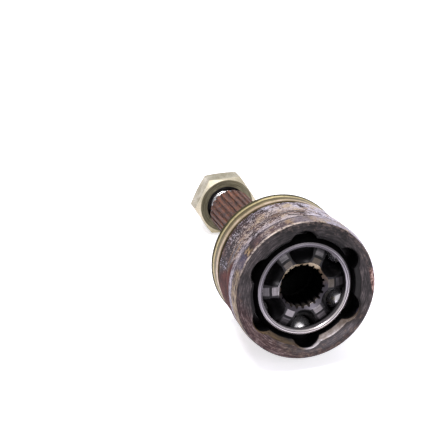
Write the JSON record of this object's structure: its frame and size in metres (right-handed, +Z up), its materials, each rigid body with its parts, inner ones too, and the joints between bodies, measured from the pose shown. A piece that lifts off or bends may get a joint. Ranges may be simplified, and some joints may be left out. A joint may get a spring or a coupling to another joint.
{
  "type": "constant velocity joint",
  "caption": "Outboard ball-type CV joint: bell with splined stub shaft, caged balls around a splined inner race, pressed ring on the back of the bell and a collared hub nut.",
  "frame": {"origin": "joint centre: where the axes of the stub shaft and the axle shaft cross, on the plane of the ball centres", "axes": "+Y along the stub shaft to its threaded end, -Y out of the bell's mouth to the axle shaft, +Z up through one ball, X across and the axis the joint bends about"},
  "size_m": [0.0848, 0.1814, 0.0848],
  "materials": {
    "forged_steel": "turned and forged steel, surface rust",
    "zinc_plated_sheet": "pressed sheet, pale zinc plating",
    "yellow_zinc_steel": "olive-yellow zinc plating",
    "ground_steel": "hardened and ground, oiled",
    "spring_steel": "blackened spring wire",
    "bearing_steel": "polished"
  },
  "bodies": {
    "outer_race": {"outer_race": "forged_steel", "cover_ring": "zinc_plated_sheet"},
    "inner_race": {"inner_race": "ground_steel", "retaining_ring": "spring_steel"},
    "ball_cage": {"ball_cage": "ground_steel"},
    "hub_nut": {"hub_nut": "yellow_zinc_steel"},
    "ball_1": {"ball_1": "bearing_steel"},
    "ball_2": {"ball_2": "bearing_steel"},
    "ball_3": {"ball_3": "bearing_steel"},
    "ball_4": {"ball_4": "bearing_steel"},
    "ball_5": {"ball_5": "bearing_steel"},
    "ball_6": {"ball_6": "bearing_steel"}
  },
  "joints": [
    {"name": "articulation", "type": "hinge", "parent": "outer_race", "child": "inner_race", "pos_m": [0, 0, 0], "axis": [1, 0, 0], "range_deg": [-42, 42]},
    {"name": "cage_tilt", "type": "hinge", "parent": "outer_race", "child": "ball_cage", "pos_m": [0, 0, 0], "axis": [1, 0, 0], "range_deg": [-21, 21]},
    {"name": "nut_travel", "type": "slide", "parent": "outer_race", "child": "hub_nut", "axis": [0, 1, 0], "range_m": [-0.006, 0.019]},
    {"name": "ball_1_travel", "type": "hinge", "parent": "outer_race", "child": "ball_1", "pos_m": [0, -0.004, 0], "axis": [1, 0, 0], "range_deg": [-21, 21]},
    {"name": "ball_2_travel", "type": "hinge", "parent": "outer_race", "child": "ball_2", "pos_m": [0, -0.004, 0], "axis": [0.5, 0, -0.866], "range_deg": [-10.9, 10.9]},
    {"name": "ball_3_travel", "type": "hinge", "parent": "outer_race", "child": "ball_3", "pos_m": [0, -0.004, 0], "axis": [-0.5, 0, -0.866], "range_deg": [-10.9, 10.9]},
    {"name": "ball_4_travel", "type": "hinge", "parent": "outer_race", "child": "ball_4", "pos_m": [0, -0.004, 0], "axis": [-1, 0, 0], "range_deg": [-21, 21]},
    {"name": "ball_5_travel", "type": "hinge", "parent": "outer_race", "child": "ball_5", "pos_m": [0, -0.004, 0], "axis": [-0.5, 0, 0.866], "range_deg": [-10.9, 10.9]},
    {"name": "ball_6_travel", "type": "hinge", "parent": "outer_race", "child": "ball_6", "pos_m": [0, -0.004, 0], "axis": [0.5, 0, 0.866], "range_deg": [-10.9, 10.9]}
  ],
  "couplings": [
    {"joint": "cage_tilt", "follows": "articulation", "ratio": 0.5},
    {"joint": "ball_1_travel", "follows": "articulation", "ratio": 0.5},
    {"joint": "ball_2_travel", "follows": "articulation", "ratio": 0.258},
    {"joint": "ball_3_travel", "follows": "articulation", "ratio": -0.258},
    {"joint": "ball_4_travel", "follows": "articulation", "ratio": -0.5},
    {"joint": "ball_5_travel", "follows": "articulation", "ratio": -0.258},
    {"joint": "ball_6_travel", "follows": "articulation", "ratio": 0.258}
  ]
}
